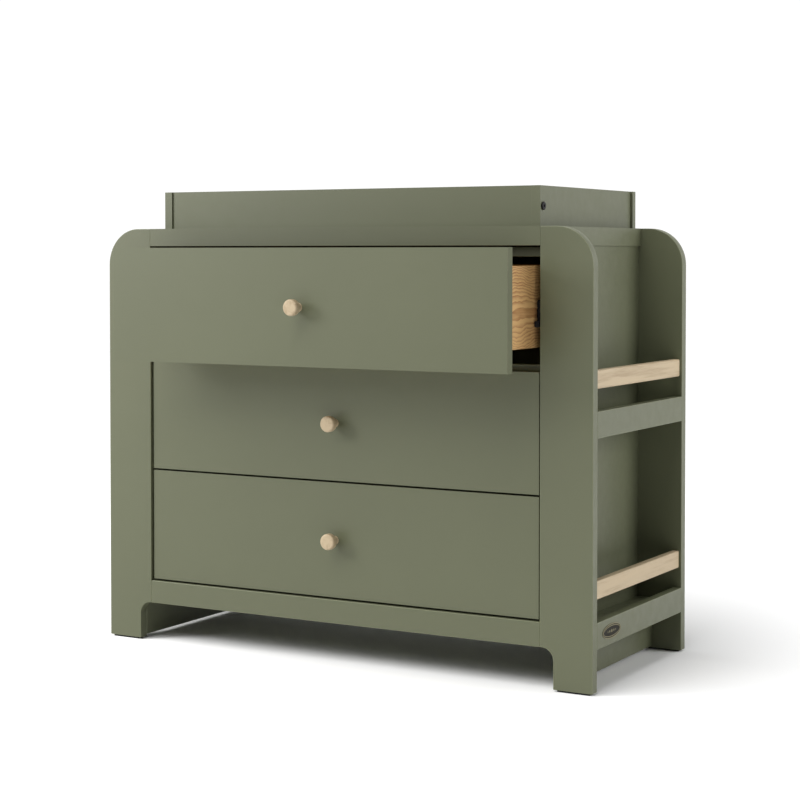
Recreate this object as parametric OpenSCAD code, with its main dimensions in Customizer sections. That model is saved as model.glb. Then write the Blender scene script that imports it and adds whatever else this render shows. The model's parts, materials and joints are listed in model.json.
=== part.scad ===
// Changing table: a three-drawer dresser with open bookcases on both ends and a
// changing topper screwed on top. The frame is +Z up, +X to the user's right and
// -Y towards the user. The origin is on the floor, at the centre of the box round
// the whole object as it is stored, with its top drawer pulled out.

/* [Overall] */
// Width across the outer edges of the stiles
overall_w = 1120; // [1080:5:1250]
// Depth from the front stiles' face to the rear stiles' back
cabinet_d = 466; // [460:1:520]
// Height of a stile, without its glide
stile_h = 864; // [855:1:900]
// Height of the plastic glide under each foot
glide_h = 3.5; // [3:0.5:12]

/* [Stiles] */
// Width of a stile
stile_w = 108; // [100:1:120]
// Thickness of a stile
stile_t = 21; // [18:1:25]
// Radius of the outer top corner
corner_r = 75; // [40:1:90]
// Width of the foot, below the arch
foot_w = 80; // [70:1:90]
// Height of the arch over the floor
arch_h = 77; // [60:1:90]
// Radius where the foot turns into the arch
arch_r = 24; // [10:1:24]

/* [Carcass] */
// Thickness of the plinths
board_t = 17; // [15:1:19]
// Thickness of the side panels
panel_t = 12; // [12:1:18]
// How far the desk top stands out past a side panel
desk_over = 5; // [0:1:6]
// Gap between the desk top and the rail behind the top drawer's front
top_rail_gap = 3; // [0:0.5:5]
// Thickness of the desk top
desk_t = 36; // [30:1:40]
// Height of the bottom front and rear rails
bottom_rail_h = 47; // [40:1:55]
// Height of a divider rail behind the gap between two fronts
divider_h = 20; // [16:1:24]
// Thickness of the rails inside the cabinet
rail_t = 18; // [15:1:20]
// Height of the rail at the top of the back
rear_rail_h = 80; // [70:1:90]
// Thickness of the back panel
back_t = 6; // [4:1:8]
// Gap left between a plinth and the level of the stiles' bottoms
plinth_gap = 4; // [2:1:12]

/* [Bookcases] */
// Height of a shelf's edge rail
shelf_rail_h = 50; // [40:1:60]
// Height of the lower shelf's edge rail over the stile's bottom
lower_rail_z = 79; // [60:1:90]
// Height of the upper shelf's edge rail over the stile's bottom
upper_rail_z = 471; // [440:1:500]
// Thickness of a shelf board
shelf_t = 16; // [12:1:18]
// Depth of a shelf's top below its edge rail's top
shelf_sink = 25; // [10:1:30]
// Height of a guard bar
bar_h = 35; // [30:1:45]
// Thickness of a guard bar
bar_t = 15; // [12:1:18]
// Distance from the stile's outer edge in to the guard bar
bar_inset = 5; // [0:1:10]
// Gap between an edge rail and the guard bar above it
bar_gap = 41; // [30:1:60]

/* [Drawers] */
// Thickness of a drawer front
front_t = 20; // [18:1:22]
// Gap above, between and below the fronts
front_gap = 4; // [2:0.5:5]
// Gap at each end of a front
side_gap = 4; // [2:0.5:6]
// Depth of a closed front behind the stiles' face
front_recess = 5; // [2:0.5:6]
// How far the top drawer stands open
top_open = 133; // [0:5:300]
// Height of a drawer box
box_h = 153; // [120:1:170]
// Height of the box over its front's bottom edge
box_lift = 42; // [30:1:45]
// Depth of a drawer box behind its front
box_d = 400; // [360:1:400]
// Thickness of a drawer box's walls
box_t = 13; // [12:1:15]
// Space for the runner at each side of a box
runner_w = 13; // [12.7:0.1:14]

/* [Topper] */
// Width of the topper across its side panels
topper_w = 873; // [850:1:890]
// Height of the topper over the desk top
topper_h = 77; // [60:1:100]
// Distance from the stiles' face back to the topper
topper_y = 32; // [20:1:50]
// Thickness of the topper's front and side panels
topper_t = 18; // [15:1:20]
// Thickness of the topper's rear board
topper_back_t = 15; // [12:1:18]

/* [Hidden] */
$fn = 64;
LEFT = -1;
RIGHT = 1;

// Finish colours
sage = [0.47, 0.49, 0.40];
beech = [0.78, 0.69, 0.56];
pine = [0.80, 0.64, 0.42];
plywood = [0.84, 0.74, 0.57];
black = [0.08, 0.08, 0.09];
steel = [0.55, 0.56, 0.57];
bronze = [0.20, 0.18, 0.15];

// Main planes, measured from the stiles' face and from the stile's bottom
half_w = overall_w / 2;
stile_in = half_w - stile_w;
panel_out = stile_in + panel_t;
desk_out = panel_out + desk_over;
rear_stile_y = cabinet_d - stile_t;
desk_z = stile_h - desk_t;
sink_in = 1;
base_z = arch_h + 25;
base_t = 9;

// Drawer places. Drawer 1 is the top one.
opening_z = arch_h + bottom_rail_h;
front_h = (desk_z - opening_z - 4 * front_gap) / 3;
front_w = 2 * (stile_in - side_gap);
box_w = 2 * (stile_in - runner_w);
box_y = front_recess + front_t;
groove_d = 6;
groove_h = 5.4;
groove_lift = 10;
bottom_t = 5;
rail_clear = 12;
function front_z(k) = opening_z + front_gap + (3 - k) * (front_h + front_gap);
function box_z(k) = front_z(k) + box_lift;
function travel(k) = k == 1 ? top_open : 0;

// Knob: a neck, a cone that widens to the head, and the head
knob_r = 16;
knob_neck_r = 8;
knob_neck_l = 6;
knob_head_t = 12;
knob_out = 32;
knob_edge_r = 3;
knob_screw_r = 2;

// Runners: a fixed channel in the cabinet, and a member on the drawer inside it
channel_h = 56;
channel_y = 28;
channel_l = 400;
sheet_t = 1.5;
runner_play = 1;
member_h = channel_h - 2 * (sheet_t + runner_play);
member_y = 147;
member_l = 285;
cap_l = 10;
tab_l = 15;
tab_h = 11;
runner_lift = 106;
function runner_z(k) = front_z(k) + runner_lift;

// Fasteners
fit = 0.1;
cam_r = 7.5;
cam_t = 9.5;
cam_setback = 34;
cam_slot = 2;
cam_heights = [160, 400, 640, 790];
bolt_r = 3;
bolt_l = 50;
bolt_head_r = 8;
bolt_head_t = 3;
screw_r = 2.2;
screw_head_r = 4.5;
screw_head_t = 2.5;
screw_l = 40;
box_screw_zs = [35, 120];

// Topper and its rear board
topper_recess = 3;
topper_back_w = topper_w + 10;
topper_back_z = 780;
topper_bolt_y = topper_y + topper_recess + topper_t / 2;
topper_bolt_z = stile_h + topper_h / 2;
desk_screw_xs = [-350, -150, 150, 350];
end_screw_zs = [20, 57];

// Tip anchor: an angle bracket with a hole for a wall strap
anchor_w = 30;
anchor_z = 752;
anchor_h = 25;
anchor_t = 2;
anchor_out = topper_back_t;
strap_hole_r = 2.5;
strap_hole_y = cabinet_d + 9;
anchor_screw_z = anchor_z + 15;
anchor_screw_l = 14;

// Badge: a blank oval plate
badge_w = 85;
badge_h = 28;
badge_t = 1.2;
badge_y = 87;
badge_step = 10;

// Glides
glide_l = 66;
glide_w = 15;

// The origin lies midway between the open drawer's knob and the rear board's back
front_most = front_recess - top_open - knob_out;
rear_most = cabinet_d + topper_back_t;
origin_y = -(front_most + rear_most) / 2;

// ---- Helpers ----

// Moves a piece from the stile frame to the row frame
module place() {
    translate([0, origin_y, glide_h]) children();
}

// A box between its lowest and highest corners
module slab(low, high) {
    translate(low) cube(high - low);
}

// Draws for the right side, and mirrors for the left side
module on_side(side) {
    mirror([side == LEFT ? 1 : 0, 0, 0]) children();
}

// A screw that points along -Y, with its flat head at the origin
module screw_back(length, r = screw_r) {
    rotate([90, 0, 0]) cylinder(r = r, h = length);
    rotate([90, 0, 0]) cylinder(r = screw_head_r, h = screw_head_t);
}

// A screw that points along -X, with its flat head at the origin
module screw_left(length, r = screw_r) {
    rotate([0, -90, 0]) cylinder(r = r, h = length);
    rotate([0, -90, 0]) cylinder(r = screw_head_r, h = screw_head_t);
}

// ---- Stiles ----

// Stile seen from the front, with its outer edge at x = 0
module stile_outline() {
    arch_w = stile_w - foot_w;
    difference() {
        union() {
            square([stile_w, stile_h - corner_r]);
            translate([corner_r, 0]) square([stile_w - corner_r, stile_h]);
            intersection() {
                translate([corner_r, stile_h - corner_r]) circle(r = corner_r, $fn = 128);
                square([corner_r, stile_h]);
            }
        }
        translate([foot_w, -sink_in]) square([arch_w + sink_in, arch_h - arch_r + sink_in]);
        translate([foot_w + arch_r, 0]) square([arch_w, arch_h]);
        translate([foot_w + arch_r, arch_h - arch_r]) circle(r = arch_r);
    }
}

module stile(side, back_y) {
    color(sage) place() on_side(side)
        translate([half_w, back_y, 0]) mirror([1, 0, 0]) rotate([90, 0, 0])
            linear_extrude(stile_t) stile_outline();
}

module front_stile(side) {
    stile(side, stile_t);
}

module rear_stile(side) {
    stile(side, cabinet_d);
}

// ---- Carcass ----

module side_panel(side) {
    color(sage) place() on_side(side) difference() {
        slab([stile_in, stile_t, arch_h], [panel_out, rear_stile_y, desk_z]);
        cam_places() cylinder(r = cam_r, h = 2 * cam_t, center = true);
    }
}

// Places on the inner face of the right side panel, with +Z pointing into the panel
module cam_places() {
    for (y = [stile_t + cam_setback, rear_stile_y - cam_setback], z = cam_heights) {
        translate([stile_in, y, z]) rotate([0, 90, 0]) children();
    }
}

module cam_locks() {
    color(steel) place() for (side = [LEFT, RIGHT]) {
        on_side(side) cam_places() difference() {
            cylinder(r = cam_r - fit, h = cam_t);
            cube([cam_slot, cam_r + cam_slot, cam_slot], center = true);
        }
    }
}

module plinth(side) {
    inner_x = half_w - foot_w;
    color(sage) place() on_side(side)
        slab([inner_x, stile_t, plinth_gap],
             [inner_x + board_t, rear_stile_y, shelf_top(lower_rail_z) - shelf_t]);
}

module desk_top() {
    color(sage) place() difference() {
        union() {
            slab([-stile_in, 0, desk_z], [stile_in, cabinet_d, stile_h]);
            slab([-desk_out, stile_t, desk_z], [desk_out, rear_stile_y, stile_h]);
        }
        desk_screw_places() rotate([90, 0, 0])
            cylinder(r = screw_r + fit, h = screw_l);
    }
}

module top_front_rail() {
    color(sage) place()
        slab([-stile_in, rail_y(), desk_z - stile_t],
             [stile_in, rail_y() + rail_t, desk_z - top_rail_gap]);
}

// Front face of the rails that close the cabinet behind the fronts
function rail_y() = box_y + rail_clear;

module divider_rails() {
    color(sage) place() for (k = [1, 2]) {
        middle_z = front_z(k) - front_gap / 2;
        slab([-stile_in, rail_y(), middle_z - divider_h / 2],
             [stile_in, rail_y() + rail_t, middle_z + divider_h / 2]);
    }
}

module bottom_front_rail() {
    color(sage) place()
        slab([-stile_in, 0, arch_h], [stile_in, stile_t, opening_z]);
}

// Rails at the top and the bottom of the back
module rear_rails() {
    color(sage) place() difference() {
        slab([-stile_in, cabinet_d - rail_t, desk_z - rear_rail_h],
             [stile_in, cabinet_d, desk_z]);
        translate([0, cabinet_d + sink_in, anchor_screw_z]) rotate([90, 0, 0])
            cylinder(r = screw_r + fit, h = anchor_screw_l + sink_in);
    }
    color(sage) place()
        slab([-stile_in, cabinet_d - rail_t, arch_h], [stile_in, cabinet_d, opening_z]);
}

module back_panel() {
    color(sage) place()
        slab([-stile_in, cabinet_d - rail_t - back_t, arch_h],
             [stile_in, cabinet_d - rail_t, desk_z]);
}

// Base under the drawers, housed between the rails and the back
module bottom_panel() {
    color(sage) place()
        slab([-stile_in, stile_t, base_z],
             [stile_in, cabinet_d - rail_t - back_t, base_z + base_t]);
}

module glides() {
    color(black) place() for (side = [LEFT, RIGHT], y = [0, rear_stile_y]) {
        on_side(side)
            translate([half_w - foot_w / 2 - glide_l / 2, y + (stile_t - glide_w) / 2, -glide_h])
                cube([glide_l, glide_w, glide_h]);
    }
}

// ---- Bookcases ----

function shelf_top(rail_z) = rail_z + shelf_rail_h - shelf_sink;

module shelf(side, rail_z) {
    color(sage) place() on_side(side)
        slab([panel_out, stile_t, shelf_top(rail_z) - shelf_t],
             [half_w - rail_t, rear_stile_y, shelf_top(rail_z)]);
}

module shelf_rail(side, rail_z) {
    color(sage) place() on_side(side)
        slab([half_w - rail_t, stile_t, rail_z],
             [half_w, rear_stile_y, rail_z + shelf_rail_h]);
}

module guard_bars(side) {
    bar_out = half_w - bar_inset;
    color(beech) place() on_side(side) for (rail_z = [lower_rail_z, upper_rail_z]) {
        bar_z = rail_z + shelf_rail_h + bar_gap;
        slab([bar_out - bar_t, stile_t, bar_z], [bar_out, rear_stile_y, bar_z + bar_h]);
    }
}

module badge() {
    oval = [for (a = [0 : badge_step : 360 - badge_step])
        [badge_w / 2 * cos(a), badge_h / 2 * sin(a)]];
    color(bronze) place()
        translate([half_w, badge_y, lower_rail_z + shelf_rail_h / 2])
            rotate([90, 0, 90]) linear_extrude(badge_t) polygon(oval);
}

// ---- Runners ----

// Fixed channel of one drawer on the right side, open towards the drawer
module channel(k) {
    inner_x = stile_in - runner_w + runner_play;
    low_z = runner_z(k) - channel_h / 2;
    difference() {
        slab([inner_x, channel_y, low_z],
             [stile_in, channel_y + channel_l, low_z + channel_h]);
        slab([inner_x - sink_in, channel_y - sink_in, low_z + sheet_t],
             [stile_in - sheet_t, channel_y + channel_l + sink_in,
              low_z + channel_h - sheet_t]);
    }
}

module cabinet_runners(side) {
    color(black) place() on_side(side) for (k = [1 : 3]) {
        channel(k);
    }
}

// Member on the right side of a drawer, with its end cap and release tab
module member(k) {
    low_x = box_w / 2;
    high_x = stile_in - sheet_t - runner_play;
    low_z = runner_z(k) - member_h / 2;
    difference() {
        slab([low_x, member_y, low_z], [high_x, member_y + member_l, low_z + member_h]);
        slab([low_x + sheet_t, member_y + cap_l, low_z + sheet_t],
             [high_x + sink_in, member_y + member_l + sink_in, low_z + member_h - sheet_t]);
    }
    slab([low_x + sheet_t, member_y - tab_l, low_z], [high_x, member_y, low_z + tab_h]);
}

module drawer_runners(k) {
    color(black) drawer(k) for (side = [LEFT, RIGHT]) {
        on_side(side) member(k);
    }
}

// ---- Drawers ----

// Moves a drawer's piece out by the drawer's opening as stored
module drawer(k) {
    place() translate([0, -travel(k), 0]) children();
}

module knob_screw_place(k) {
    translate([0, box_y, front_z(k) + front_h / 2]) children();
}

module drawer_front(k) {
    color(sage) drawer(k) difference() {
        slab([-front_w / 2, front_recess, front_z(k)],
             [front_w / 2, box_y, front_z(k) + front_h]);
        translate([0, 0, box_z(k) + groove_lift])
            slab([-box_w / 2 + box_t - groove_d, box_y - groove_d, 0],
                 [box_w / 2 - box_t + groove_d, box_y + sink_in, groove_h]);
        knob_screw_place(k) rotate([90, 0, 0])
            cylinder(r = knob_screw_r + fit, h = 3 * front_t, center = true);
    }
}

module drawer_side(k, side) {
    color(pine) drawer(k) on_side(side) difference() {
        slab([box_w / 2 - box_t, box_y, box_z(k)],
             [box_w / 2, box_y + box_d, box_z(k) + box_h]);
        translate([0, 0, box_z(k) + groove_lift])
            slab([box_w / 2 - box_t - sink_in, box_y - sink_in, 0],
                 [box_w / 2 - box_t + groove_d, box_y + box_d - box_t + groove_d, groove_h]);
        box_screws(k, fit);
    }
}

module drawer_back(k) {
    back_y = box_y + box_d - box_t;
    color(pine) drawer(k) difference() {
        slab([-box_w / 2 + box_t, back_y, box_z(k)],
             [box_w / 2 - box_t, box_y + box_d, box_z(k) + box_h]);
        translate([0, 0, box_z(k) + groove_lift])
            slab([-box_w / 2, back_y - sink_in, 0],
                 [box_w / 2, back_y + groove_d, groove_h]);
        for (side = [LEFT, RIGHT]) {
            on_side(side) box_screws(k, fit);
        }
    }
}

module drawer_bottom(k) {
    edge_x = box_w / 2 - box_t + groove_d;
    back_y = box_y + box_d - box_t + groove_d;
    color(plywood) drawer(k)
        translate([0, 0, box_z(k) + groove_lift])
            slab([-edge_x, box_y - groove_d, 0], [edge_x, back_y, bottom_t]);
}

// Knob outline beside its axis: neck, cone, head and rounded front edge
module knob_outline() {
    head_y = knob_out - knob_head_t;
    polygon([[0, 0], [knob_neck_r, 0], [knob_neck_r, knob_neck_l],
             [knob_r, head_y], [0, head_y]]);
    translate([0, head_y]) square([knob_r, knob_head_t - knob_edge_r]);
    translate([0, head_y]) square([knob_r - knob_edge_r, knob_head_t]);
    translate([knob_r - knob_edge_r, knob_out - knob_edge_r]) circle(r = knob_edge_r);
}

module drawer_knob(k) {
    color(beech) drawer(k)
        translate([0, front_recess, front_z(k) + front_h / 2]) rotate([90, 0, 0])
            difference() {
                rotate_extrude($fn = 96) knob_outline();
                translate([0, 0, -sink_in])
                    cylinder(r = knob_screw_r + fit, h = knob_out / 2 + sink_in);
            }
}

// The two screws at one rear corner of a drawer box, on the right side
module box_screws(k, play = 0) {
    for (z = box_screw_zs) {
        translate([box_w / 2, box_y + box_d - box_t / 2, box_z(k) + z])
            screw_left(screw_l, screw_r + play);
    }
}

module drawer_screws(k) {
    color(steel) drawer(k) {
        for (side = [LEFT, RIGHT]) {
            on_side(side) box_screws(k);
        }
        knob_screw_place(k) {
            rotate([90, 0, 0]) cylinder(r = knob_screw_r, h = front_t + knob_out / 2 - sink_in);
            rotate([-90, 0, 0]) cylinder(r = screw_head_r, h = screw_head_t);
        }
    }
}

// ---- Topper ----

module topper_front() {
    inner_x = topper_w / 2 - topper_t;
    color(sage) place() difference() {
        slab([-inner_x, topper_y + topper_recess, stile_h],
             [inner_x, topper_y + topper_recess + topper_t, stile_h + topper_h]);
        for (side = [LEFT, RIGHT]) {
            on_side(side) topper_bolt_place() rotate([0, -90, 0])
                cylinder(r = bolt_r + fit, h = bolt_l);
        }
    }
}

module topper_side(side) {
    color(sage) place() on_side(side) difference() {
        slab([topper_w / 2 - topper_t, topper_y, stile_h],
             [topper_w / 2, cabinet_d, stile_h + topper_h]);
        topper_bolt_place() rotate([0, -90, 0])
            cylinder(r = bolt_r + fit, h = 4 * topper_t, center = true);
        end_screw_places() rotate([90, 0, 0])
            cylinder(r = screw_r + fit, h = screw_l);
    }
}

module topper_back() {
    color(sage) place() difference() {
        slab([-topper_back_w / 2, cabinet_d, topper_back_z],
             [topper_back_w / 2, rear_most, stile_h + topper_h]);
        desk_screw_places() topper_screw_hole();
        for (side = [LEFT, RIGHT]) {
            on_side(side) end_screw_places() topper_screw_hole();
        }
    }
}

// Counterbored hole through the rear board
module topper_screw_hole() {
    rotate([90, 0, 0]) {
        cylinder(r = screw_r + fit, h = 2 * topper_back_t, center = false);
        cylinder(r = screw_head_r + fit, h = 2 * screw_head_t, center = true);
    }
}

module topper_bolt_place() {
    translate([topper_w / 2, topper_bolt_y, topper_bolt_z]) children();
}

// Screws through the rear board into the desk top's rear edge
module desk_screw_places() {
    for (x = desk_screw_xs) {
        translate([x, rear_most, desk_z + desk_t / 2]) children();
    }
}

// Screws through the rear board into the right side panel's end
module end_screw_places() {
    for (z = end_screw_zs) {
        translate([topper_w / 2 - topper_t / 2, rear_most, stile_h + z]) children();
    }
}

module topper_fasteners() {
    color(black) place() {
        desk_screw_places() screw_back(screw_l - sink_in);
        for (side = [LEFT, RIGHT]) {
            on_side(side) {
                end_screw_places() screw_back(screw_l - sink_in);
                topper_bolt_place() rotate([0, -90, 0])
                    cylinder(r = bolt_r, h = bolt_l - sink_in);
                topper_bolt_place() rotate([0, 90, 0])
                    cylinder(r = bolt_head_r, h = bolt_head_t);
            }
        }
    }
}

module tip_anchor() {
    color(steel) place() {
        difference() {
            union() {
                slab([-anchor_w / 2, cabinet_d, anchor_z],
                     [anchor_w / 2, cabinet_d + anchor_t, anchor_z + anchor_h]);
                slab([-anchor_w / 2, cabinet_d, anchor_z],
                     [anchor_w / 2, cabinet_d + anchor_out, anchor_z + anchor_t]);
            }
            translate([0, strap_hole_y, anchor_z - sink_in])
                cylinder(r = strap_hole_r, h = anchor_t + 2 * sink_in);
            translate([0, cabinet_d + anchor_t, anchor_screw_z]) rotate([90, 0, 0])
                cylinder(r = screw_r + fit, h = 4 * anchor_t, center = true);
        }
        translate([0, cabinet_d + anchor_t + fit, anchor_screw_z]) {
            rotate([90, 0, 0]) cylinder(r = screw_r, h = anchor_screw_l);
            rotate([-90, 0, 0]) cylinder(r = screw_head_r, h = screw_head_t);
        }
    }
}

// ---- Nodes ----

front_stile(LEFT);  // front_left_stile
front_stile(RIGHT);  // front_right_stile
rear_stile(LEFT);  // rear_left_stile
rear_stile(RIGHT);  // rear_right_stile
side_panel(LEFT);  // left_side_panel
side_panel(RIGHT);  // right_side_panel
plinth(LEFT);  // left_plinth
plinth(RIGHT);  // right_plinth
shelf(LEFT, lower_rail_z);  // left_lower_shelf
shelf(LEFT, upper_rail_z);  // left_upper_shelf
shelf(RIGHT, lower_rail_z);  // right_lower_shelf
shelf(RIGHT, upper_rail_z);  // right_upper_shelf
shelf_rail(LEFT, lower_rail_z);  // left_lower_shelf_rail
shelf_rail(LEFT, upper_rail_z);  // left_upper_shelf_rail
shelf_rail(RIGHT, lower_rail_z);  // right_lower_shelf_rail
shelf_rail(RIGHT, upper_rail_z);  // right_upper_shelf_rail
guard_bars(LEFT);  // left_guard_bars
guard_bars(RIGHT);  // right_guard_bars
desk_top();
top_front_rail();
divider_rails();
bottom_front_rail();
rear_rails();
back_panel();
bottom_panel();
cabinet_runners(LEFT);  // left_cabinet_runners
cabinet_runners(RIGHT);  // right_cabinet_runners
cam_locks();
glides();
topper_front();
topper_side(LEFT);  // topper_left
topper_side(RIGHT);  // topper_right
topper_back();
topper_fasteners();
badge();
tip_anchor();
drawer_front(1);  // drawer_1_front
drawer_side(1, LEFT);  // drawer_1_left_side
drawer_side(1, RIGHT);  // drawer_1_right_side
drawer_back(1);  // drawer_1_back
drawer_bottom(1);  // drawer_1_bottom
drawer_knob(1);  // drawer_1_knob
drawer_screws(1);  // drawer_1_screws
drawer_runners(1);  // drawer_1_runners
drawer_front(2);  // drawer_2_front
drawer_side(2, LEFT);  // drawer_2_left_side
drawer_side(2, RIGHT);  // drawer_2_right_side
drawer_back(2);  // drawer_2_back
drawer_bottom(2);  // drawer_2_bottom
drawer_knob(2);  // drawer_2_knob
drawer_screws(2);  // drawer_2_screws
drawer_runners(2);  // drawer_2_runners
drawer_front(3);  // drawer_3_front
drawer_side(3, LEFT);  // drawer_3_left_side
drawer_side(3, RIGHT);  // drawer_3_right_side
drawer_back(3);  // drawer_3_back
drawer_bottom(3);  // drawer_3_bottom
drawer_knob(3);  // drawer_3_knob
drawer_screws(3);  // drawer_3_screws
drawer_runners(3);  // drawer_3_runners
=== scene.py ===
"""Looks of a changing table: a painted three-drawer dresser with a bookcase at each end.

Every CAD board keeps its shape and gets eased edges and a painted or wooden surface.
Knobs, badge, screws, bolts and runners are replaced by finer pieces in the same places.
Lengths are in metres, in the row frame: +Z up, +X to the right, -Y towards the user.
"""
import json
import math

import bmesh
import bpy
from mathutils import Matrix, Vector


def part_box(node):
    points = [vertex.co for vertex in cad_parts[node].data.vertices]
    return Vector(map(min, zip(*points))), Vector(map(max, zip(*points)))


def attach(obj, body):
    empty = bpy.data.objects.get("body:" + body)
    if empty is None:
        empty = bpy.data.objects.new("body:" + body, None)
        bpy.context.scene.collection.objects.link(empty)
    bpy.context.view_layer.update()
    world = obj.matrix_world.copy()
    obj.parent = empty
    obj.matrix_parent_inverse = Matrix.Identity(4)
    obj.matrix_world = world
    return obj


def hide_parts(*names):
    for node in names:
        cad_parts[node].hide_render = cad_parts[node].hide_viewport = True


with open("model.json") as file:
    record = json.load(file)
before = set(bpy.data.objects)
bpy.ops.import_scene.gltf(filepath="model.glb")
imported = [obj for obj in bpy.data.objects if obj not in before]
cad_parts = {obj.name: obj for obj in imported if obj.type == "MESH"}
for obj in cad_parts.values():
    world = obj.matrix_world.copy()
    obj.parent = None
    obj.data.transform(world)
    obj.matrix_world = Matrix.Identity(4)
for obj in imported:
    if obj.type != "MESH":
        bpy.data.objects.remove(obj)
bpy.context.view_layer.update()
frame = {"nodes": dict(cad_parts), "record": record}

# ---- Camera ----
CAMERA_PLACE = (1.957, -3.3169, 0.8168)
CAMERA_TURN = math.radians(29.766)
CAMERA_PITCH = math.radians(1.553)
CAMERA_SHIFT = -0.12
LENS_MM = 84.406
SENSOR_MM = 36.0

DRAWERS = (1, 2, 3)
BOTH_SIDES = (-1, 1)

# ---- Growth rings in the drawer boxes' boards ----
# The pith lies behind each board by PITH_GAP, at a share PITH_RISE of its height.
BOX_WALL = 0.013
BOX_HEIGHT = 0.153
RING_GAP = 0.0040
PITH_GAP = 0.030
PITH_RISE = 0.42
RING_WANDER = 0.012
RING_RIPPLE = 0.003

# ---- Light and floor: area lights in watts, the overhead sun in watts a square metre ----
AMBIENT = 0.14
BACKDROP = 1.05
WHITE = (1.0, 1.0, 1.0, 1.0)
KEY = {"place": (-2.6, -2.1, 1.75), "target": (0, -0.2, 0.45), "size": 1.2, "power": 70.0}
SIDE = {"place": (3.4, 1.3, 1.5), "target": (0.5, 0, 0.3), "size": 1.8, "power": 68.0}
OVERHEAD = 3.4
OVERHEAD_LEAN = (-0.3, -0.45, 1.0)
OVERHEAD_SOFTNESS = math.radians(58)
FLOOR_HALF = 40.0
FLOOR_GREY = (0.92, 0.92, 0.92, 1.0)

# ---- Edges: how far each kind is rounded, in metres, and what counts as an edge ----
BOARD_EASE = 0.0012
FRONT_EASE = 0.0008
TOP_EASE = 0.0022
BAR_EASE = 0.0025
BOX_EASE = 0.0008
METAL_EASE = 0.0003
CAP_EASE = 0.0006
EASE_STEPS = 3
SHARP = math.radians(40)
FLAT = math.radians(0.2)
WELD = 0.00001
SMOOTH_BELOW = 35


def colour(red, green, blue):
    """A display colour, 0 to 255 a channel, as the linear colour that shaders take."""
    def linear(level):
        level /= 255
        return level / 12.92 if level <= 0.04045 else ((level + 0.055) / 1.055) ** 2.4
    return (linear(red), linear(green), linear(blue), 1.0)


def shade(rgba, factor):
    """The same colour, lighter or darker by a factor."""
    return tuple(channel * factor for channel in rgba[:3]) + (1.0,)


SAGE = colour(88, 91, 69)
BEECH_LIGHT = colour(173, 155, 126)
BEECH_DARK = colour(146, 126, 95)
PINE_EARLY = colour(191, 153, 101)
PINE_LATE = colour(140, 93, 50)
PLY_LIGHT = colour(222, 198, 158)
PLY_DARK = colour(196, 166, 120)
STEEL_BLACK = colour(14, 14, 15)
ZINC = colour(190, 192, 196)
BRONZE_DARK = colour(34, 32, 25)
BRONZE_RUBBED = colour(128, 122, 98)
GLIDE_BLACK = colour(24, 24, 24)
CAP_BLACK = colour(18, 18, 19)


# ---- Shader helpers ----

class Shader:
    """A material's node tree, with short calls to add and join nodes."""

    def __init__(self, name):
        self.material = bpy.data.materials.new(name)
        self.material.use_nodes = True
        self.tree = self.material.node_tree
        self.surface = self.tree.nodes["Principled BSDF"]
        self.place = self.add("ShaderNodeTexCoord").outputs["Object"]

    def add(self, kind, **settings):
        node = self.tree.nodes.new(kind)
        for key, value in settings.items():
            setattr(node, key, value)
        return node

    def join(self, source, target):
        self.tree.links.new(source, target)

    def set(self, **values):
        """Sets the surface shader's own sockets, with _ for a space in a socket's name."""
        for key, value in values.items():
            self.surface.inputs[key.replace("_", " ")].default_value = value

    def noise(self, scale, detail=2.0, stretch=(1, 1, 1), distortion=0.0):
        """A noise value over the piece; stretch multiplies the scale along each axis."""
        mapping = self.add("ShaderNodeMapping")
        mapping.inputs["Scale"].default_value = stretch
        self.join(self.place, mapping.inputs["Vector"])
        noise = self.add("ShaderNodeTexNoise")
        noise.inputs["Scale"].default_value = scale
        noise.inputs["Detail"].default_value = detail
        noise.inputs["Distortion"].default_value = distortion
        self.join(mapping.outputs["Vector"], noise.inputs["Vector"])
        return noise.outputs["Fac"]

    def math(self, operation, first, second):
        """A math node; either input may be a number or another node's output."""
        node = self.add("ShaderNodeMath", operation=operation)
        for socket, value in zip(node.inputs, (first, second)):
            if isinstance(value, (int, float)):
                socket.default_value = value
            else:
                self.join(value, socket)
        return node.outputs[0]

    def spread(self, value, low, high, from_low=0.3, from_high=0.7):
        """Maps a noise value to the range from low to high."""
        node = self.add("ShaderNodeMapRange")
        node.inputs["From Min"].default_value = from_low
        node.inputs["From Max"].default_value = from_high
        node.inputs["To Min"].default_value = low
        node.inputs["To Max"].default_value = high
        self.join(value, node.inputs["Value"])
        return node.outputs["Result"]

    def ramp(self, value, stops):
        """A colour ramp through (position, colour) stops."""
        node = self.add("ShaderNodeValToRGB")
        elements = node.color_ramp.elements
        for element, (position, rgba) in zip(elements, stops):
            element.position, element.color = position, rgba
        for position, rgba in stops[len(elements):]:
            elements.new(position).color = rgba
        self.join(value, node.inputs["Fac"])
        return node.outputs["Color"]

    def bump(self, value, depth, strength=1.0, under=None):
        """Bump of a depth in metres, over the bump normal given by under."""
        node = self.add("ShaderNodeBump")
        node.inputs["Strength"].default_value = strength
        node.inputs["Distance"].default_value = depth
        self.join(value, node.inputs["Height"])
        if under is not None:
            self.join(under, node.inputs["Normal"])
        return node.outputs["Normal"]


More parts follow.
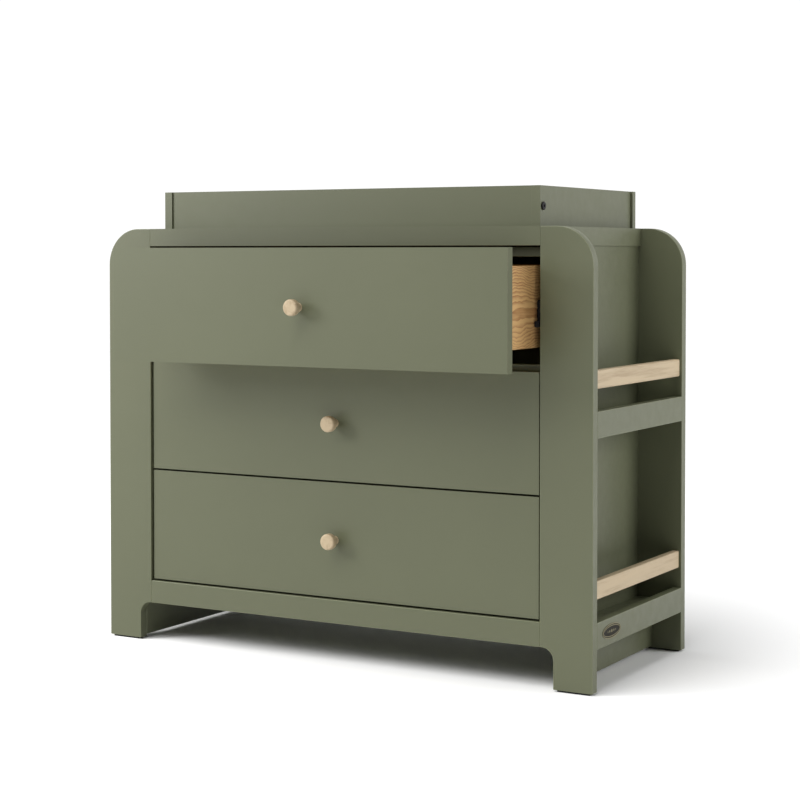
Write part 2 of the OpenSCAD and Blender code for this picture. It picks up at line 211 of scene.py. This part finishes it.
def paint(name, base, lightness=1.0, gloss=0.0):
    """Sprayed satin paint on smooth board: faint clouding, orange peel and varied gloss."""
    s = Shader(name)
    s.set(Specular_IOR_Level=0.38)
    # A lightness above 1 makes a lighter copy of the paint, used as a painted highlight on eased
    # edges.
    base = shade(base, lightness)
    clouds = s.noise(3.0, detail=3.0)
    s.join(s.ramp(clouds, [(0.3, shade(base, 0.97)), (0.7, shade(base, 1.03))]),
           s.surface.inputs["Base Color"])
    s.join(s.spread(s.noise(45.0, detail=4.0), 0.40 - gloss, 0.50 - gloss),
           s.surface.inputs["Roughness"])
    peel = s.bump(s.noise(650.0, detail=2.0), 0.00003, strength=0.5)
    waves = s.bump(s.noise(24.0, detail=1.0), 0.00002, strength=0.4, under=peel)
    s.join(waves, s.surface.inputs["Normal"])
    return s.material


AXES = {"x": 0, "y": 1, "z": 2}


def along(axis, fine, coarse):
    """Noise stretch for grain that runs along an axis."""
    return tuple(coarse if i == AXES[axis] else fine for i in range(3))


def fine_wood(name, axis, light, dark):
    """Pale close-grained wood: short darker flecks and soft streaks along the grain."""
    s = Shader(name)
    streaks = s.noise(28.0, detail=5.0, stretch=along(axis, 3.0, 0.16), distortion=0.4)
    flecks = s.noise(260.0, detail=2.0, stretch=along(axis, 2.0, 0.10))
    tone = s.math("ADD", s.math("MULTIPLY", streaks, 0.75), s.math("MULTIPLY", flecks, 0.25))
    s.join(s.ramp(tone, [(0.32, dark), (0.52, light), (0.72, shade(light, 1.05))]),
           s.surface.inputs["Base Color"])
    s.join(s.spread(streaks, 0.48, 0.60), s.surface.inputs["Roughness"])
    s.join(s.bump(flecks, 0.00012, strength=0.5), s.surface.inputs["Normal"])
    return s.material


def ring_wood(name, axis, light, dark):
    """Flat-sawn softwood: growth rings round a pith behind the board, bent by slow noise."""
    s = Shader(name)
    own_place = s.add("ShaderNodeTexCoord").outputs["Generated"]
    split = s.add("ShaderNodeSeparateXYZ")
    s.join(own_place, split.inputs["Vector"])
    through = split.outputs["Y" if axis == "x" else "X"]
    wander = s.spread(s.noise(6.0, detail=1.0, stretch=along(axis, 0.8, 1.0)),
                      -RING_WANDER, RING_WANDER)
    ripple = s.spread(s.noise(34.0, detail=3.0, stretch=along(axis, 1.3, 0.8)),
                      -RING_RIPPLE, RING_RIPPLE)
    depth = s.math("ADD", s.math("MULTIPLY", through, BOX_WALL), PITH_GAP)
    rise = s.math("MULTIPLY", s.math("SUBTRACT", split.outputs["Z"], PITH_RISE), BOX_HEIGHT)
    bent = s.math("ADD", s.math("ADD", rise, wander), ripple)
    squares = s.math("ADD", s.math("MULTIPLY", depth, depth), s.math("MULTIPLY", bent, bent))
    rings = s.math("FRACT", s.math("DIVIDE", s.math("SQRT", squares, 0.0), RING_GAP), 0.0)
    streaks = s.noise(190.0, detail=3.0, stretch=along(axis, 1.0, 0.12), distortion=0.5)
    fibres = s.noise(520.0, detail=2.0, stretch=along(axis, 1.0, 0.05))
    clouds = s.noise(14.0, detail=2.0, stretch=along(axis, 1.0, 0.5))
    tone = s.math("MULTIPLY", rings, 0.36)
    for layer, weight in ((streaks, 0.34), (fibres, 0.14), (clouds, 0.16)):
        tone = s.math("ADD", tone, s.math("MULTIPLY", layer, weight))
    middle = tuple((a + b) / 2 for a, b in zip(light, dark))
    s.join(s.ramp(tone, [(0.30, shade(light, 1.06)), (0.46, light), (0.58, middle),
                         (0.70, dark), (0.80, dark)]),
           s.surface.inputs["Base Color"])
    s.join(s.spread(rings, 0.55, 0.45, 0.0, 1.0), s.surface.inputs["Roughness"])
    grain = s.bump(streaks, 0.00010, strength=0.4)
    s.join(s.bump(rings, 0.00008, strength=0.4, under=grain), s.surface.inputs["Normal"])
    return s.material


def metal(name, base, metallic, rough, peel_depth, specular=0.5):
    """Coated or plated metal with a fine skin and faint handling marks."""
    s = Shader(name)
    s.set(Metallic=metallic, Specular_IOR_Level=specular)
    marks = s.noise(90.0, detail=5.0)
    s.join(s.ramp(marks, [(0.3, shade(base, 0.85)), (0.7, shade(base, 1.2))]),
           s.surface.inputs["Base Color"])
    s.join(s.spread(marks, rough - 0.08, rough + 0.08), s.surface.inputs["Roughness"])
    s.join(s.bump(s.noise(1500.0), peel_depth, strength=0.5), s.surface.inputs["Normal"])
    return s.material


def relief_metal(name, recess, ridge):
    """Bronzed plate: dark in its recesses and rubbed bright on its ridges."""
    s = Shader(name)
    s.set(Metallic=0.05, Specular_IOR_Level=0.08)
    split = s.add("ShaderNodeSeparateXYZ")
    s.join(s.add("ShaderNodeTexCoord").outputs["Generated"], split.inputs["Vector"])
    marks = s.noise(700.0, detail=3.0)
    height = s.math("ADD", split.outputs["X"], s.math("MULTIPLY", marks, 0.25))
    s.join(s.ramp(height, [(0.60, recess), (0.82, shade(ridge, 0.6)), (1.0, ridge)]),
           s.surface.inputs["Base Color"])
    s.join(s.spread(marks, 0.45, 0.62), s.surface.inputs["Roughness"])
    s.join(s.bump(marks, 0.00003, strength=0.5), s.surface.inputs["Normal"])
    return s.material


def plastic(name, base):
    """Moulded plastic with a fine spark-eroded texture."""
    s = Shader(name)
    s.set(Specular_IOR_Level=0.15)
    grit = s.noise(2200.0, detail=1.0)
    s.join(s.ramp(grit, [(0.3, shade(base, 0.8)), (0.7, shade(base, 1.25))]),
           s.surface.inputs["Base Color"])
    s.join(s.spread(grit, 0.45, 0.62), s.surface.inputs["Roughness"])
    s.join(s.bump(grit, 0.00004, strength=0.6), s.surface.inputs["Normal"])
    return s.material


PAINT = paint("sage_paint", SAGE)
# A lighter, slightly glossier copy of the sage paint for the eased edges: a painted highlight
# where the edges catch the light.
PAINT_EDGE_HIGHLIGHT = paint("sage_paint_edge_highlight", SAGE, lightness=1.35, gloss=0.06)
BEECH = fine_wood("beech", "y", BEECH_LIGHT, BEECH_DARK)
PINE = {axis: ring_wood("pine_" + axis, axis, PINE_EARLY, PINE_LATE) for axis in "xy"}
PLYWOOD = fine_wood("plywood", "x", PLY_LIGHT, PLY_DARK)
BLACK_STEEL = metal("black_steel", STEEL_BLACK, metallic=0.1, rough=0.52,
                    peel_depth=0.00002, specular=0.15)
ZINC_STEEL = metal("zinc_steel", ZINC, metallic=1.0, rough=0.32, peel_depth=0.00001)
BADGE_METAL = relief_metal("badge_metal", BRONZE_DARK, BRONZE_RUBBED)
GLIDE_PLASTIC = plastic("glide_plastic", GLIDE_BLACK)
CAP_PLASTIC = plastic("cap_plastic", CAP_BLACK)


# ---- CAD boards ----

def round_edges(obj, width, edge_index=-1):
    """Rounds an object's sharp edges, as a modifier, with a material of their own if given."""
    bevel = obj.modifiers.new("eased", "BEVEL")
    bevel.width = width
    bevel.segments = EASE_STEPS
    bevel.limit_method = "ANGLE"
    bevel.angle_limit = SHARP
    bevel.harden_normals = True
    bevel.material = edge_index


def join_faces(obj):
    """Welds a CAD mesh and joins the triangles of its flat faces, as modifiers."""
    weld = obj.modifiers.new("weld", "WELD")
    weld.merge_threshold = WELD
    flat = obj.modifiers.new("flat", "DECIMATE")
    flat.decimate_type = "DISSOLVE"
    flat.angle_limit = FLAT


def finish_node(node, surface, ease, edge_highlight_surface=None):
    """Gives a CAD node its surface and eased edges, with the edge surface on the eased edges if
    given: on painted boards a lighter paint that is a painted highlight.
    """
    obj = frame["nodes"][node]
    obj.data.materials.clear()
    obj.data.materials.append(surface)
    if edge_highlight_surface is not None:
        obj.data.materials.append(edge_highlight_surface)
    join_faces(obj)
    round_edges(obj, ease, edge_index=1 if edge_highlight_surface is not None else -1)


def finish_cad_nodes():
    """Surfaces of every CAD node, by its slot in the record."""
    for part in frame["record"]["subparts"]:
        node, slot = part["node"], part["material_slot"]
        if slot in ("painted_wood", "painted_board"):
            ease = BOARD_EASE
            if node == "desk_top" or node.startswith("topper"):
                ease = TOP_EASE
            elif node.endswith("_front") or node.endswith("_rails"):
                ease = FRONT_EASE
            # Painted boards get the lighter edge paint on their eased edges, a painted highlight.
            finish_node(node, PAINT, ease, PAINT_EDGE_HIGHLIGHT)
        elif slot == "light_wood":
            finish_node(node, BEECH, BAR_EASE)
        elif slot == "pine":
            finish_node(node, PINE["x" if node.endswith("_back") else "y"], BOX_EASE)
        elif slot == "plywood":
            finish_node(node, PLYWOOD, BOX_EASE)
        elif slot == "black_steel":
            finish_node(node, BLACK_STEEL, METAL_EASE)
        elif slot == "zinc_steel":
            finish_node(node, ZINC_STEEL, METAL_EASE)
        elif slot == "black_plastic":
            finish_node(node, GLIDE_PLASTIC, BOX_EASE)
        elif slot == "badge_plate":
            finish_node(node, BADGE_METAL, METAL_EASE)


# ---- Pieces that stand for CAD nodes ----

def mm(*values):
    """Millimetres as metres."""
    return tuple(value / 1000 for value in values)


class Form:
    """Points and faces of a piece while it is built, in the row frame."""

    def __init__(self):
        self.points = []
        self.faces = []

    def rows(self, rows):
        """Joins closed rows of points with bands of faces, and closes both ends."""
        starts = []
        for row in rows:
            starts.append((len(self.points), len(row)))
            self.points += [tuple(point) for point in row]
        for (low, count), (high, _) in zip(starts, starts[1:]):
            for i in range(count):
                j = (i + 1) % count
                self.faces.append((low + i, low + j, high + j, high + i))
        for start, count in (starts[0], starts[-1]):
            self.faces.append(tuple(range(start, start + count)))

    def lathe(self, place, axis, profile, segments=48):
        """Turns a profile of (radius, height) or (outline, height) rows round an axis.

        An outline is a function from an angle to a radius, for a socket or a recess.
        """
        turn = Vector(axis).to_track_quat("Z", "Y").to_matrix()
        rows = []
        for radius, height in profile:
            row = []
            for i in range(segments):
                angle = 2 * math.pi * i / segments
                reach = radius(angle) if callable(radius) else radius
                around = Vector((reach * math.cos(angle), reach * math.sin(angle), height))
                row.append(Vector(place) + turn @ around)
            rows.append(row)
        self.rows(rows)

    def sweep(self, outline, low_y, high_y, side=1):
        """Extrudes an outline of (x, z) points along Y, mirrored in X where side is -1."""
        self.rows([[(side * x, y, z) for x, z in outline] for y in (low_y, high_y)])

    def plate(self, outline, low_x, high_x, side=1):
        """Extrudes an outline of (y, z) points along X, mirrored in X where side is -1."""
        self.rows([[(side * x, y, z) for y, z in outline] for x in (low_x, high_x)])

    def piece(self, name, surface, body, slot, nodes=(), smooth_below=SMOOTH_BELOW):
        """Makes the Blender object, rides it on its body, and hides the nodes it stands for."""
        mesh = bpy.data.meshes.new(name)
        mesh.from_pydata(self.points, [], self.faces)
        work = bmesh.new()
        work.from_mesh(mesh)
        bmesh.ops.remove_doubles(work, verts=work.verts, dist=1e-6)
        bmesh.ops.recalc_face_normals(work, faces=work.faces)
        work.to_mesh(mesh)
        work.free()
        mesh.shade_smooth()
        mesh.set_sharp_from_angle(angle=math.radians(smooth_below))
        mesh.materials.append(surface)
        obj = bpy.data.objects.new(name, mesh)
        bpy.context.collection.objects.link(obj)
        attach(obj, body)
        if nodes:
            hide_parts(*nodes)
        return obj


def arc(centre, radius, start, end, steps):
    """Points (u, v) on an arc, with its angles in degrees."""
    angles = [math.radians(start + (end - start) * i / steps) for i in range(steps + 1)]
    return [(centre[0] + radius * math.cos(a), centre[1] + radius * math.sin(a)) for a in angles]


def hexagon(across):
    """Outline of a hexagonal socket."""
    sixth = math.pi / 3
    return lambda angle: across / 2 / math.cos(angle % sixth - sixth / 2)


def cross(length, width):
    """Outline of a cross recess: four arms of a length, measured from the middle."""
    def reach(angle):
        near, far = sorted((abs(math.cos(angle)), abs(math.sin(angle))))
        return min(length / far, width / 2 / max(near, 1e-6))
    return reach


def make_knob(k):
    """Turned beech knob: a flared neck, and a head with a soft edge and a faint crown."""
    node = f"drawer_{k}_knob"
    low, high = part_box(node)
    radius = (high.x - low.x) / 2
    out = high.y - low.y
    head = radius - KNOB_EDGE
    profile = [(0.0, 0.0), (KNOB_NECK + KNOB_FOOT, 0.0), (KNOB_NECK, 2 * KNOB_FOOT)]
    flare_low, flare_high = KNOB_FLARE
    for i in range(FLARE_STEPS + 1):
        share = i / FLARE_STEPS
        ease = share * share * (3 - 2 * share)
        bend = FLARE_STRAIGHT * share + (1 - FLARE_STRAIGHT) * ease
        flared = KNOB_NECK + (radius - KNOB_NECK) * bend
        profile.append((flared, flare_low + (flare_high - flare_low) * share))
    crown_out = out - KNOB_CROWN
    profile += arc((head, crown_out - KNOB_EDGE), KNOB_EDGE, 0, 90, 8)
    for i in range(1, CROWN_STEPS):
        share = 1 - i / CROWN_STEPS
        profile.append((head * share, crown_out + KNOB_CROWN * (1 - share ** 2)))
    profile.append((0.0, out))
    form = Form()
    centre = ((low.x + high.x) / 2, high.y, (low.z + high.z) / 2)
    form.lathe(centre, (0, -1, 0), profile, segments=72)
    form.piece(f"{node}_turned", BEECH, f"drawer_{k}", "light_wood", [node], smooth_below=60)


def screw_profile(length, shank, head, head_t, recess, depth):
    """Profile of a screw from its tip to the bottom of the recess in its head."""
    tip = 2 * shank
    rows = [(0.0, -length), (TIP_BLUNT * shank, -length + TIP_BLUNT * tip)]
    pitch = THREAD_PITCH
    height = -length + tip
    while height + pitch < -head_t - 2 * pitch:
        rows += [(THREAD_ROOT * shank, height), (shank, height + pitch / 2)]
        height += pitch
    rows += [(THREAD_ROOT * shank, height), (shank, -head_t - pitch), (shank, -head_t)]
    rim = RIM_SHARE * head
    rows += [(head - rim, -head_t), (head, -head_t + rim)]
    rows += [(head - rim + r, -rim + h) for r, h in arc((0, 0), rim, 0, 90, 4)]
    rows += [(recess, 0.0), (recess, -depth), (0.0, -depth)]
    return rows


def make_drawer_screws(k):
    """Screws of one drawer: two at each rear corner, and the knob's screw."""
    node = f"drawer_{k}_screws"
    form = Form()
    back_low, back_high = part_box(f"drawer_{k}_back")
    side_low, side_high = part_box(f"drawer_{k}_right_side")
    profile = screw_profile(BOX_SCREW_LENGTH, **WOOD_SCREW)
    for side in BOTH_SIDES:
        for height in BOX_SCREW_HEIGHTS:
            place = (side * side_high.x, (back_low.y + back_high.y) / 2, side_low.z + height)
            form.lathe(place, (side, 0, 0), profile, segments=40)
    tip_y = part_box(node)[0].y
    front_low, front_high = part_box(f"drawer_{k}_front")
    middle = (front_low.z + front_high.z) / 2
    head_y = front_high.y + KNOB_SCREW["head_t"]
    profile = screw_profile(head_y - tip_y, **KNOB_SCREW)
    form.lathe((0, head_y, middle), (0, 1, 0), profile, segments=40)
    form.piece(f"{node}_cross", ZINC_STEEL, f"drawer_{k}", "zinc_steel", [node])


def make_topper_fasteners():
    """Bolts with hexagonal sockets in the topper's sides, and screws in its rear board."""
    form = Form()
    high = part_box("topper_fasteners")[1]
    front_low, front_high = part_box("topper_front")
    back_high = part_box("topper_back")[1]
    side_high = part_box("topper_right")[1]
    desk_low, desk_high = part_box("desk_top")
    bolt = screw_profile(BOLT_LENGTH, **BOLT)
    place_y = (front_low.y + front_high.y) / 2
    place_z = (front_low.z + front_high.z) / 2
    for side in BOTH_SIDES:
        form.lathe((side * high.x, place_y, place_z), (side, 0, 0), bolt, segments=60)
    screw = screw_profile(TOPPER_SCREW_LENGTH, **WOOD_SCREW)
    places = [(x, (desk_low.z + desk_high.z) / 2) for x in DESK_SCREW_XS]
    side_x = side_high.x - TOPPER_WALL / 2
    places += [(side * side_x, desk_high.z + z) for side in BOTH_SIDES for z in END_SCREW_ZS]
    for x, z in places:
        form.lathe((x, back_high.y, z), (0, 1, 0), screw, segments=40)
    form.piece("topper_fasteners_sockets", BLACK_STEEL, "cabinet", "black_steel",
               ["topper_fasteners"])


def make_badge():
    """A blank oval plate with a raised rim, an inner line and a row of small beads."""
    low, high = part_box("badge")
    half_y, half_z = (high.y - low.y) / 2, (high.z - low.z) / 2
    centre = Vector((low.x, (low.y + high.y) / 2, (low.z + high.z) / 2))
    form = Form()
    rows = []
    for inset, rise in BADGE_RIM:
        row = []
        for i in range(BADGE_STEPS):
            angle = 2 * math.pi * i / BADGE_STEPS
            across = Vector((rise, (half_y - inset) * math.cos(angle),
                             (half_z - inset) * math.sin(angle)))
            row.append(centre + across)
        rows.append(row)
    form.rows(rows)
    for offset, radius in BADGE_BEADS:
        dome = [(radius * math.cos(a), BADGE_FIELD + BEAD_RISE * radius * math.sin(a))
                for a in BEAD_ANGLES]
        foot = [(radius, BADGE_FIELD - BEAD_SINK)]
        dome = foot + dome + [(0.0, BADGE_FIELD + BEAD_RISE * radius)]
        for side in (BOTH_SIDES if offset else (1,)):
            form.lathe(centre + Vector((0, side * offset, 0)), (1, 0, 0), dome, segments=24)
    form.piece("badge_blank", BADGE_METAL, "cabinet", "badge_plate", ["badge"])


def strip(path, wall):
    """Closed outline of a bent sheet, from its middle line and its wall thickness."""
    outer, inner = [], []
    for i, (x, z) in enumerate(path):
        before, after = path[max(i - 1, 0)], path[min(i + 1, len(path) - 1)]
        run = Vector((after[0] - before[0], after[1] - before[1])).normalized()
        outer.append((x - run.y * wall / 2, z + run.x * wall / 2))
        inner.append((x + run.y * wall / 2, z - run.x * wall / 2))
    return outer + inner[::-1]


def rail_path(depth, half_height, bend, lip):
    """Middle line of a rolled rail: a ribbed web and two flanges, turned in where lip isn't 0."""
    half = SHEET / 2
    top = half_height - half
    upper = [(half + rise, height) for rise, height in WEB_RIB]
    upper += arc((half + bend, top - bend), bend, 180, 90, 6)
    if lip:
        turn = SHEET
        upper += arc((depth - half - turn, top - turn), turn, 90, 0, 5)
        upper.append((depth - half, top - turn - lip))
    else:
        upper.append((depth, top))
    return [(u, -v) for u, v in upper[:0:-1]] + upper


def make_runners():
    """Rolled runner rails: channels in the cabinet, and members with caps on the drawers."""
    heights = {}
    for k in DRAWERS:
        low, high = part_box(f"drawer_{k}_runners")
        heights[k] = (low.z + high.z) / 2
        steel, caps, screws = Form(), Form(), Form()
        half_height = (high.z - low.z) / 2
        inner_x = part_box(f"drawer_{k}_right_side")[1].x
        depth = high.x - inner_x
        front_y = low.y + TAB_LENGTH
        outline = strip(rail_path(depth, half_height, MEMBER_BEND, MEMBER_LIP), SHEET)
        outline = [(inner_x + u, heights[k] + v) for u, v in outline]
        screw = screw_profile(RAIL_SCREW_LENGTH, **RAIL_SCREW)
        for side in BOTH_SIDES:
            steel.sweep(outline, front_y, high.y, side)
            cap = [(front_y + y, low.z + z) for y, z in CAP_OUTLINE]
            caps.plate(cap, inner_x + SHEET, high.x - CAP_SETBACK, side)
            for share in MEMBER_SCREW_SHARES:
                y = front_y + share * (high.y - front_y)
                place = (side * (inner_x + SHEET + RAIL_SCREW["head_t"]), y, heights[k])
                screws.lathe(place, (side, 0, 0), screw, segments=32)
        steel.piece(f"drawer_{k}_runners_rolled", BLACK_STEEL, f"drawer_{k}", "black_steel",
                    [f"drawer_{k}_runners"])
        cap = caps.piece(f"drawer_{k}_runners_caps", CAP_PLASTIC, f"drawer_{k}", "black_plastic")
        round_edges(cap, CAP_EASE)
        screws.piece(f"drawer_{k}_runners_screws", ZINC_STEEL, f"drawer_{k}", "zinc_steel")
    for side, name in ((-1, "left"), (1, "right")):
        node = f"{name}_cabinet_runners"
        low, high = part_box(node)
        outer_x = max(abs(low.x), abs(high.x))
        depth = high.x - low.x
        steel, screws = Form(), Form()
        screw = screw_profile(RAIL_SCREW_LENGTH, **WEB_SCREW)
        for k in DRAWERS:
            half_height = CHANNEL_HEIGHT / 2
            outline = strip(rail_path(depth, half_height, CHANNEL_BEND, 0), SHEET)
            outline = [(outer_x - u, heights[k] + v) for u, v in outline]
            steel.sweep(outline, low.y, high.y, side)
            for share in CHANNEL_SCREW_SHARES:
                place = (side * (outer_x - SHEET - WEB_SCREW["head_t"]),
                         low.y + share * (high.y - low.y), heights[k])
                screws.lathe(place, (-side, 0, 0), screw, segments=32)
        steel.piece(f"{node}_rolled", BLACK_STEEL, "cabinet", "black_steel", [node])
        screws.piece(f"{node}_screws", ZINC_STEEL, "cabinet", "zinc_steel")


# ---- Knob, fastener, badge and runner measures ----
KNOB_NECK, KNOB_EDGE, KNOB_CROWN, KNOB_FOOT = mm(8.0, 3.6, 0.4, 0.6)
KNOB_FLARE = mm(5.0, 20.0)
FLARE_STRAIGHT = 0.35
FLARE_STEPS = 12
CROWN_STEPS = 6
THREAD_PITCH = 0.0022
THREAD_ROOT, TIP_BLUNT, RIM_SHARE = 0.82, 0.3, 0.12
BOX_SCREW_LENGTH, TOPPER_SCREW_LENGTH, BOLT_LENGTH, RAIL_SCREW_LENGTH = mm(40, 39, 52, 10)
WOOD_SCREW = {"shank": 0.0022, "head": 0.0045, "head_t": 0.0025,
              "recess": cross(0.0024, 0.0010), "depth": 0.0014}
KNOB_SCREW = {**WOOD_SCREW, "shank": 0.0020}
BOLT = {"shank": 0.003, "head": 0.008, "head_t": 0.003,
        "recess": hexagon(0.005), "depth": 0.0022}
RAIL_SCREW = {"shank": 0.0018, "head": 0.0038, "head_t": 0.0016,
              "recess": cross(0.0021, 0.0009), "depth": 0.0010}
WEB_SCREW = {"shank": 0.0018, "head": 0.0036, "head_t": 0.0010,
             "recess": cross(0.0020, 0.0009), "depth": 0.0006}
BOX_SCREW_HEIGHTS = mm(35, 120)
DESK_SCREW_XS = mm(-350, -150, 150, 350)
END_SCREW_ZS = mm(20, 57)
TOPPER_WALL = 0.018
SHEET = 0.0015
WEB_RIB = [mm(*row) for row in ((0, 0), (0, 6), (0.8, 8), (0.8, 11), (0, 13))]
TAB_LENGTH = 0.015
MEMBER_BEND, MEMBER_LIP, CHANNEL_BEND = mm(4, 3, 2)
MEMBER_SCREW_SHARES = (0.18, 0.55, 0.9)
CHANNEL_SCREW_SHARES = (0.08, 0.5, 0.92)
CHANNEL_HEIGHT = 0.056
CAP_SETBACK = 0.0002
BADGE_STEPS = 96
BADGE_FIELD = 0.0005
BEAD_RISE = 0.19
BEAD_SINK = 0.0002
BEAD_ANGLES = (0.0, 0.4, 0.8, 1.2)
BADGE_RIM = [mm(*row) for row in (
    (0, 0), (0, 0.8), (0.15, 1.05), (0.45, 1.2), (1.5, 1.2), (1.8, 1.05), (2.1, 0.5),
    (3.4, 0.5), (3.6, 0.95), (4.0, 1.05), (4.6, 1.05), (5.0, 0.95), (5.2, 0.5), (12, 0.5))]
BADGE_BEADS = [mm(*row) for row in ((0, 3.4), (9.5, 2.8), (17.5, 2.2))]
CAP_OUTLINE = [mm(*point) for point in (
    (10, 2), (10, 49), (2, 49), (0, 47), (0, 11), (-9, 11), (-11, 9.5), (-13, 11),
    (-15, 10), (-15, 2), (-13, 0), (0, 0), (2, 2))]


def make_fine_pieces():
    """All the pieces that stand for plainer CAD nodes."""
    for k in DRAWERS:
        make_knob(k)
        make_drawer_screws(k)
    make_topper_fasteners()
    make_badge()
    make_runners()


# ---- Studio ----

def make_floor():
    """A wide pale floor."""
    half = FLOOR_HALF
    mesh = bpy.data.meshes.new("floor")
    corners = [(-half, -half, 0), (half, -half, 0), (half, half, 0), (-half, half, 0)]
    mesh.from_pydata(corners, [], [(0, 1, 2, 3)])
    floor = bpy.data.objects.new("floor", mesh)
    bpy.context.collection.objects.link(floor)
    s = Shader("floor_paint")
    s.set(Base_Color=FLOOR_GREY, Roughness=0.9)
    floor.data.materials.append(s.material)


def soft_light(name, place, target, size, power):
    """A square soft light at a place, turned to a target."""
    data = bpy.data.lights.new(name, "AREA")
    data.size, data.energy = size, power
    light = bpy.data.objects.new(name, data)
    light.location = place
    light.rotation_euler = (Vector(target) - Vector(place)).to_track_quat("-Z", "Y").to_euler()
    bpy.context.collection.objects.link(light)


def overhead_light():
    """Even light from above the whole floor, leaning to the front and to the left."""
    data = bpy.data.lights.new("overhead", "SUN")
    data.energy, data.angle = OVERHEAD, OVERHEAD_SOFTNESS
    light = bpy.data.objects.new("overhead", data)
    light.rotation_euler = Vector(OVERHEAD_LEAN).to_track_quat("Z", "Y").to_euler()
    bpy.context.collection.objects.link(light)


def make_surroundings():
    """A white backdrop all round that lights the object more weakly than it shows."""
    world = bpy.data.worlds.new("studio")
    world.use_nodes = True
    tree = world.node_tree
    ambient = tree.nodes["Background"]
    ambient.inputs["Color"].default_value = WHITE
    ambient.inputs["Strength"].default_value = AMBIENT
    backdrop = tree.nodes.new("ShaderNodeBackground")
    backdrop.inputs["Strength"].default_value = BACKDROP
    backdrop.inputs["Color"].default_value = WHITE
    path = tree.nodes.new("ShaderNodeLightPath")
    seen = tree.nodes.new("ShaderNodeMath")
    seen.operation = "MAXIMUM"
    tree.links.new(path.outputs["Is Camera Ray"], seen.inputs[0])
    tree.links.new(path.outputs["Is Glossy Ray"], seen.inputs[1])
    choice = tree.nodes.new("ShaderNodeMixShader")
    tree.links.new(seen.outputs[0], choice.inputs[0])
    tree.links.new(ambient.outputs[0], choice.inputs[1])
    tree.links.new(backdrop.outputs[0], choice.inputs[2])
    tree.links.new(choice.outputs[0], tree.nodes["World Output"].inputs["Surface"])
    bpy.context.scene.world = world


def make_lights():
    """A low soft key from the front left, one from the right rear, and an even top light."""
    make_surroundings()
    soft_light("key", **KEY)
    soft_light("side", **SIDE)
    overhead_light()
    bpy.context.scene.view_settings.view_transform = "Standard"


def make_camera():
    """The camera at the viewing angle that the object was recorded from."""
    data = bpy.data.cameras.new("camera")
    data.lens, data.sensor_width, data.shift_y = LENS_MM, SENSOR_MM, CAMERA_SHIFT
    camera = bpy.data.objects.new("camera", data)
    camera.location = CAMERA_PLACE
    camera.rotation_euler = (math.radians(90) - CAMERA_PITCH, 0, CAMERA_TURN)
    bpy.context.collection.objects.link(camera)
    bpy.context.scene.camera = camera


make_camera()
finish_cad_nodes()
make_fine_pieces()
make_floor()
make_lights()
